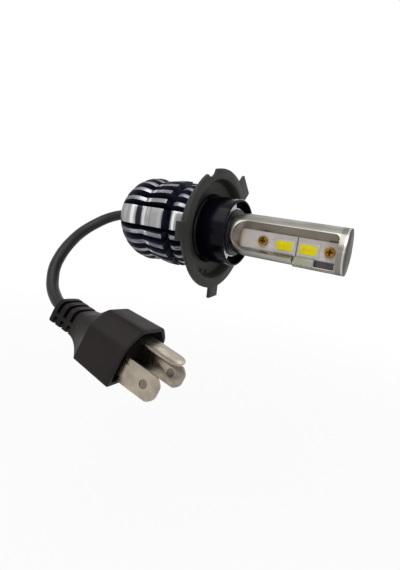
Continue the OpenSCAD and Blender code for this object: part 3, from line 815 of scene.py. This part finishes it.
@dataclass
class Plug:
    """The moulded plug: ribbed strain relief, hollow flare, six-sided housing and deep recess.

    Sizes are in millimetres, in the plug's own frame: x along the blades, z up. The low, side,
    slanted and high sizes are distances of faces from the centre line, and a crispness is the
    power that sharpens the corners between them. The places of rings on a rib and in a slot
    are measured from the start of the pitch.
    """

    at: Point = (-4.3, -25.0, -46.7)
    turn: Point = (-5.7, 16.0, 4.4)
    rear_x: float = -35.6
    flare_x: float = -26.6
    shoulder_x: float = -17.0
    front_x: float = -2.4
    recess_x: float = -6.4
    inner_rear_x: float = -13.9
    half_w: float = 11.0
    low: float = 5.8
    high: float = 12.0
    slant: float = 12.73
    rear_share: float = 0.93
    relief_half_w: float = 5.25
    relief_low: float = 3.3
    relief_high: float = 5.0
    relief_slant: float = 6.5
    relief_crisp: float = 9.0
    housing_crisp: float = 26.0
    core_share: float = 0.74
    rib_pitch: float = 3.0
    rib_t: float = 1.7
    rib_step: float = 0.12
    rib_count: int = 3
    spine_z: float = 0.1
    spine_half: float = 0.65
    skin: float = 1.3
    ledge: float = 0.3
    flare_power: float = 1.7
    edge: float = 0.35
    bore_r: float = 2.02
    bore_z: float = 0.8
    bore_depth: float = 3.0
    around: int = 240
    round_rings: int = 5
    flare_rings: int = 24
    housing_rings: int = 20
    wall_rings: int = 8
    rib_places: tuple[float, ...] = (0.0, 0.15, 0.6, 1.1, 1.55)
    slot_places: tuple[float, ...] = (2.0, 2.35, 2.7)
    blade_edge: float = 0.1
    blade_corner: float = 0.85
    dimple_r: float = 1.7
    dimples: tuple[Point, ...] = ((5.9, -7.7, 0.0), (5.9, 7.7, 0.0), (5.9, 0.0, 7.8))

    def flare_way(self, x: np.ndarray) -> np.ndarray:
        """How far the flare has opened at a place: a power of the way along it, from 0 to 1."""
        way = np.clip((x - self.flare_x) / (self.shoulder_x - self.flare_x), 0, 1)
        return way**self.flare_power

    def sides(self, x: np.ndarray) -> tuple[np.ndarray, np.ndarray, np.ndarray, np.ndarray]:
        """Distances of the low, side, slanted and high faces from the plug's centre line.

        They are even along the relief, rise by a power of the way along the flare, and widen
        in a straight line along the housing.

        Args:
            x: places along the plug.

        Returns:
            The four distances at each place.
        """
        way = self.flare_way(x)
        grow = np.clip((x - self.shoulder_x) / (self.front_x - self.shoulder_x), 0, 1)
        share = self.rear_share + (1 - self.rear_share) * grow
        pairs = (
            (self.relief_low, self.low), (self.relief_half_w, self.half_w),
            (self.relief_slant, self.slant), (self.relief_high, self.high),
        )
        low, side, slant, high = (a + (b * share - a) * way for a, b in pairs)
        return low, side, slant, high

    def ring_radius(self, x: np.ndarray, angle: np.ndarray, inset: np.ndarray) -> np.ndarray:
        """Distance from the centre line to the skin at an angle around it.

        It is a soft least of the distances to the six faces: each face's nearness, the cosine
        of the angle off its normal over its distance, is raised to a power and added up, and
        the sum's inverse root is the radius. A high power leaves crisp corners.

        Args:
            x: places along the plug, one a ring.
            angle: angles around it, from the side toward the top, one a point.
            inset: how far each ring lies inside the outer skin.

        Returns:
            The radius, as ring by point.
        """
        low, side, slant, high = self.sides(x)
        gain = (self.housing_crisp - self.relief_crisp) * self.flare_way(x)
        crisp = (self.relief_crisp + gain)[:, None]
        total = np.zeros((len(x), len(angle)))
        faces = ((-90, low), (0, side), (180, side), (45, slant), (135, slant), (90, high))
        for normal, distance in faces:
            toward = np.clip(np.cos(angle - math.radians(normal)), 0, None)
            total += (toward[None, :] / (distance - inset)[:, None]) ** crisp
        return total ** (-1 / crisp)

    def ribs(self, x: np.ndarray, radius: np.ndarray, angle: np.ndarray) -> np.ndarray:
        """Cut the slots of the relief between its ribs, except along the two side spines.

        A slot's depth is a share of the radius, over a soft step at each side of each rib.

        Args:
            x: places along the plug, one a ring.
            radius: the skin's radius, as ring by point.
            angle: angles around it, one a point.

        Returns:
            The radius with the slots cut.
        """
        along = (x - self.rear_x) % self.rib_pitch
        rise = np.clip((along - self.rib_t) / self.rib_step, 0, 1)
        fall = np.clip((self.rib_pitch - along) / self.rib_step, 0, 1)
        slot = np.minimum(rise, fall) * (x < self.flare_x)
        height = radius * np.sin(angle)[None, :]
        off = np.abs(height - self.spine_z) - self.spine_half
        away_from_spine = np.clip(off / self.rib_step, 0, 1)
        return radius * (1 - (1 - self.core_share) * slot[:, None] * away_from_spine)

    def stations(self) -> tuple[np.ndarray, np.ndarray]:
        """Where the rings stand, from the rear face out, over the front rim and in again.

        The outer and inner edges are quarter rounds: the inset is the round's width less its
        cosine share, and the place along the plug its width less its sine share.

        Returns:
            The place along the plug and the inset below the outer skin, one each a ring.
        """
        turn = np.linspace(0, math.pi / 2, self.round_rings)
        in_by, on_by = self.edge * (1 - np.cos(turn)), self.edge * (1 - np.sin(turn))
        slot_ends = (self.rib_t + self.rib_step, self.rib_pitch - self.rib_step)
        in_pitch = (*self.rib_places, self.rib_t, slot_ends[0], *self.slot_places, slot_ends[1])
        pitches = self.rear_x + self.rib_pitch * np.arange(self.rib_count)[:, None]
        relief = (pitches + np.array(in_pitch)).ravel()
        relief = relief[(relief > self.rear_x + self.edge) & (relief < self.flare_x)]
        outer = np.concatenate([
            relief,
            np.linspace(self.flare_x, self.shoulder_x, self.flare_rings),
            np.linspace(self.shoulder_x, self.front_x - self.edge, self.housing_rings)[1:-1],
        ])
        wall = np.linspace(self.front_x - self.edge, self.recess_x, self.wall_rings)[1:]
        deep = self.skin + self.ledge
        x = np.concatenate([
            self.rear_x + on_by[::-1], outer, self.front_x - on_by, self.front_x - on_by[::-1],
            wall, [self.recess_x, self.inner_rear_x],
        ])
        inset = np.concatenate([
            in_by[::-1], np.zeros_like(outer), in_by, self.skin - in_by[::-1],
            np.full_like(wall, self.skin), [deep, deep],
        ])
        return x, inset

    def housing(self) -> bpy.types.Mesh:
        """The moulded skin as one closed surface, with the cable's bore in its rear face.

        A point stands off the centre line by its ring's radius, times the cosine of its angle
        to the side and times the sine of it upward.

        Returns:
            The mesh, in place in the part's frame.
        """
        angle = np.arange(self.around) * 2 * math.pi / self.around
        x, inset = self.stations()
        radius = self.ribs(x, self.ring_radius(x, angle, inset), angle)
        along = np.broadcast_to(x[:, None], radius.shape)
        skin = np.stack([along, radius * np.cos(angle), radius * np.sin(angle)], axis=-1)
        deep = self.rear_x + self.bore_depth
        bore_x = np.broadcast_to(np.array([[deep], [self.rear_x]]), (2, self.around))
        bore_y = np.broadcast_to(self.bore_r * np.cos(angle), bore_x.shape)
        bore_z = np.broadcast_to(self.bore_z + self.bore_r * np.sin(angle), bore_x.shape)
        rings = np.concatenate([np.stack([bore_x, bore_y, bore_z], axis=-1), skin])
        rear = np.array([deep, 0, self.bore_z])
        front = np.array([self.inner_rear_x, 0, 0])
        return closed_skin(self.in_place(rings), self.in_place(rear), self.in_place(front))

    def turning(self) -> np.ndarray:
        """The matrix that turns the plug's frame into the part's."""
        return np.array(Euler([math.radians(a) for a in self.turn], "XYZ").to_matrix())

    def in_place(self, points: np.ndarray) -> np.ndarray:
        """Turn points from the plug's frame, move them to its place and give them in metres."""
        return (points @ self.turning().T + np.array(self.at)) * MM

    def finish_of(self, corners: np.ndarray) -> int:
        """Which finish a blade's face takes: the round dimple is painted shade, darker than the
        blade.

        Args:
            corners: the face's corners, in millimetres in the part's frame.

        Returns:
            1 when all of the face lies by a dimple's centre, 0 elsewhere.
        """
        flat = (corners - np.array(self.at)) @ self.turning()
        away = np.linalg.norm(flat[None, :, :] - np.array(self.dimples)[:, None, :], axis=-1)
        return int((away < self.dimple_r).all(axis=1).any())

    def build(self) -> list[bpy.types.Object]:
        """Draw the housing and its three blades.

        Returns:
            The pieces.
        """
        mesh = self.housing()
        shade(mesh)
        housing = place(mesh, "plug_housing", "plug_body")
        dress(housing, PLUG_PLASTIC)
        pieces = [housing]
        for node in ("blade_near", "blade_far", "blade_top"):
            blade = eased_copy(node, self.blade_edge, self.finish_of, self.blade_corner)
            dress(blade, BLADE_METAL, DIMPLE_PAINTED_SHADE)
            pieces.append(blade)
        return pieces


# ---------------------------------------------------------------- cable


@dataclass
class Cable:
    """The short round cable between the heat sink and the plug. Sizes are in millimetres.

    Its centre line is a smooth curve through the listed points of the route.
    """

    diameter: float = 4.0
    route: tuple[Point, ...] = (
        (-38.5, 0, 0),
        (-41.5, 0, 0),
        (-45.2, -0.3, -0.4),
        (-49, -1.4, -1.6),
        (-52.3, -3.2, -3.6),
        (-54.5, -5.8, -6.2),
        (-55.6, -8.9, -8.9),
        (-55.6, -12.1, -11.5),
        (-54.9, -15.3, -14.2),
        (-54.3, -18.2, -17.3),
        (-53.9, -20.5, -20.8),
        (-53, -22.5, -24.4),
        (-51.3, -24, -27.9),
        (-48.8, -25.4, -31),
        (-45.5, -26.5, -33.4),
        (-41.7, -27.4, -35.1),
        (-37.6, -27.5, -36.3),
        (-34.8, -27.3, -37.1),
    )
    length: float = 69.7
    exit_x: float = -41.6
    steps_along: int = 8
    steps_around: int = 6

    def build(self, on_it: list[bpy.types.Object]) -> None:
        """Draw the cable as one round tube through its route.

        Args:
            on_it: the pieces at its far end; not used.
        """
        curve = bpy.data.curves.new("cable_jacket", "CURVE")
        curve.dimensions = "3D"
        curve.resolution_u = self.steps_along
        curve.bevel_depth = self.diameter / 2 * MM
        curve.bevel_resolution = self.steps_around
        curve.use_fill_caps = True
        spline = curve.splines.new("BEZIER")
        spline.bezier_points.add(len(self.route) - 1)
        for knot, at in zip(spline.bezier_points, self.route):
            knot.co = Vector(at) * MM
            knot.handle_left_type = knot.handle_right_type = "AUTO"
        piece = bpy.data.objects.new("cable_jacket", curve)
        bpy.context.collection.objects.link(piece)
        dress(piece, CABLE_JACKET)
        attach(piece, Body.LAMP.value)
        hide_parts("cable")
        log.info("made cable_jacket in place of cable")


# ---------------------------------------------------------------- the studio


@dataclass(frozen=True)
class SoftLamp:
    """A square soft lamp that faces the part's middle. Its place and width are in metres."""

    name: str
    at: Point
    side: float
    watts: float

    def hang(self) -> None:
        """Hang the lamp."""
        data = bpy.data.lights.new(self.name, "AREA")
        data.size = self.side
        data.energy = self.watts
        lamp = bpy.data.objects.new(self.name, data)
        bpy.context.collection.objects.link(lamp)
        lamp.location = self.at
        lamp.rotation_euler = (-Vector(self.at)).to_track_quat("-Z", "Y").to_euler()


@dataclass
class Studio:
    """White surroundings, soft lamps and the camera.

    Places and sizes are in metres, and the lens is in millimetres.
    """

    camera_at: Point = (0.0599, -0.10811, -0.00355)
    looks_along: Point = (-0.3849, 0.9197, -0.0773)
    upward: Point = (-0.1968, 0.0, 0.9804)
    lens: float = 21.2
    shift: tuple[float, float] = (-0.0877, -0.0228)
    nearest: float = 0.005
    lamps: tuple[SoftLamp, ...] = (
        SoftLamp("key", (0.02, -0.28, 0.34), 0.42, 1.5),
        SoftLamp("fill", (0.4, -0.28, 0.06), 0.3, 0.32),
        SoftLamp("back", (-0.1, 0.4, 0.3), 0.3, 0.4),
    )
    world_light: float = 0.26
    floor_drop: float = 0.06
    floor_half: float = 3.0
    floor_tone: float = 0.9
    floor_rough: float = 0.9
    plain_share: float = 0.9
    fade: tuple[float, float] = (0.1, 0.5)

    def build(self) -> None:
        """Set the camera, the world, the lamps and the floor."""
        self.camera()
        self.world()
        self.floor()
        for lamp in self.lamps:
            lamp.hang()

    def camera(self) -> None:
        """Stand the camera off the near side, a little below the lamp axis."""
        data = bpy.data.cameras.new("camera")
        data.lens = self.lens
        data.shift_x, data.shift_y = self.shift
        data.clip_start = self.nearest
        eye = bpy.data.objects.new("camera", data)
        bpy.context.collection.objects.link(eye)
        back = -Vector(self.looks_along).normalized()
        right = Vector(self.upward).cross(back).normalized()
        up = back.cross(right)
        turn = Matrix((right, up, back)).transposed().to_4x4()
        eye.matrix_world = Matrix.Translation(self.camera_at) @ turn
        bpy.context.scene.camera = eye

    def world(self) -> None:
        """White to the camera and to mirrors, a plain grey light on everything else."""
        world = bpy.data.worlds.new("studio")
        bpy.context.scene.world = world
        world.use_nodes = True
        nodes, links = world.node_tree.nodes, world.node_tree.links
        background = nodes["Background"]
        socket(background, "Color", (1.0, 1.0, 1.0, 1.0))
        strength = nodes.new("ShaderNodeMapRange")
        socket(strength, "To Min", self.world_light)
        socket(strength, "To Max", 1.0)
        links.new(self.seen_directly(world.node_tree), strength.inputs["Value"])
        links.new(strength.outputs["Result"], background.inputs["Strength"])

    @staticmethod
    def seen_directly(tree: bpy.types.NodeTree) -> bpy.types.NodeSocket:
        """A mask that is one where the camera, a mirror or glass sees the surface.

        Args:
            tree: the tree to add to.

        Returns:
            The socket with the mask.
        """
        path = tree.nodes.new("ShaderNodeLightPath")
        mask = path.outputs["Is Camera Ray"]
        for name in ("Is Glossy Ray", "Is Transmission Ray"):
            mask = math_node(tree, "MAXIMUM", mask, path.outputs[name])
        return mask

    def floor(self) -> None:
        """A pale floor below the hanging plug that keeps a faint shadow.

        What is seen of it is white of its own for the plain share, and lit for the rest; the
        plain share rises to one, as a smooth step, away from the part.
        """
        low, side = CAD_BOX[0][2] - self.floor_drop, self.floor_half
        mesh = bpy.data.meshes.new("floor")
        mesh.from_pydata(
            [(-side, -side, low), (side, -side, low), (side, side, low), (-side, side, low)],
            [], [(0, 1, 2, 3)],
        )
        piece = bpy.data.objects.new("floor", mesh)
        bpy.context.collection.objects.link(piece)
        mat = bpy.data.materials.new("floor")
        mat.use_nodes = True
        tree = mat.node_tree
        nodes, links = tree.nodes, tree.links
        matte = nodes["Principled BSDF"]
        socket(matte, "Base Color", (self.floor_tone, self.floor_tone, self.floor_tone, 1.0))
        socket(matte, "Roughness", self.floor_rough)
        white = nodes.new("ShaderNodeEmission")
        socket(white, "Strength", 1.0)
        mix = nodes.new("ShaderNodeMixShader")
        spot = nodes.new("ShaderNodeTexCoord")
        away = nodes.new("ShaderNodeVectorMath")
        away.operation = "LENGTH"
        links.new(spot.outputs["Object"], away.inputs[0])
        fade = nodes.new("ShaderNodeMapRange")
        fade.interpolation_type = "SMOOTHSTEP"
        socket(fade, "From Min", self.fade[0])
        socket(fade, "From Max", self.fade[1])
        socket(fade, "To Min", self.plain_share)
        socket(fade, "To Max", 1.0)
        links.new(away.outputs["Value"], fade.inputs["Value"])
        share = math_node(tree, "MULTIPLY", self.seen_directly(tree), fade.outputs["Result"])
        links.new(share, mix.inputs["Fac"])
        links.new(matte.outputs["BSDF"], mix.inputs[1])
        links.new(white.outputs["Emission"], mix.inputs[2])
        links.new(mix.outputs["Shader"], nodes["Material Output"].inputs["Surface"])
        mesh.materials.append(mat)


# ---------------------------------------------------------------- main


# The nodes whose own shape is shown
CAD_FINISHES: dict[str, Finish] = {
    "collar_lip": SLEEVE_GLOSS,
    "o_ring": SEAL_RUBBER,
    "neck": NECK_METAL,
    "driver_board": LAMINATE,
    "driver_inductor": FERRITE,
    "driver_capacitors": CAN_METAL,
    "driver_chips": CHIP_BLACK,
    "lead_wires": WIRE_RED,
    "supply_wires": WIRE_BLACK,
    "cable_gland": SEAL_RUBBER,
    "plug_insert": INSERT_PLASTIC,
    "beam_shield_near": SHIELD_METAL,
    "beam_shield_far": SHIELD_METAL,
}

# The nodes shown with rounded edges, and the width of the rounding in millimetres
EASED: dict[str, tuple[Finish, float]] = {
    "collar_flange": (FLANGE_PAINT, 0.2),
    "collar_sleeve": (SLEEVE_GLOSS, 0.15),
    "bayonet_ring": (EAR_METAL, 0.1),
    "led_board_near": (BOARD_WHITE, 0.05),
    "led_board_far": (BOARD_WHITE, 0.05),
    "led_packages": (PACKAGE_WHITE, 0.08),
    "led_phosphors": (PHOSPHOR, 0.06),
}


def main() -> None:
    """Build the studio, dress the nodes that stay, then build every new piece."""
    logging.basicConfig(level=logging.INFO, format="%(message)s")
    bpy.context.scene.view_settings.view_transform = "Standard"
    Studio().build()
    for node, finish in CAD_FINISHES.items():
        dress(bpy.data.objects[node], finish)
        log.info("dressed %s", node)
    for node, (finish, edge) in EASED.items():
        dress(eased_copy(node, edge), finish)
    Barrel().build()
    BoardScrews().build()
    HeatSink().build()
    Cable().build([*Plug().build(), bpy.data.objects["plug_insert"]])


if __name__ == "__main__":
    main()
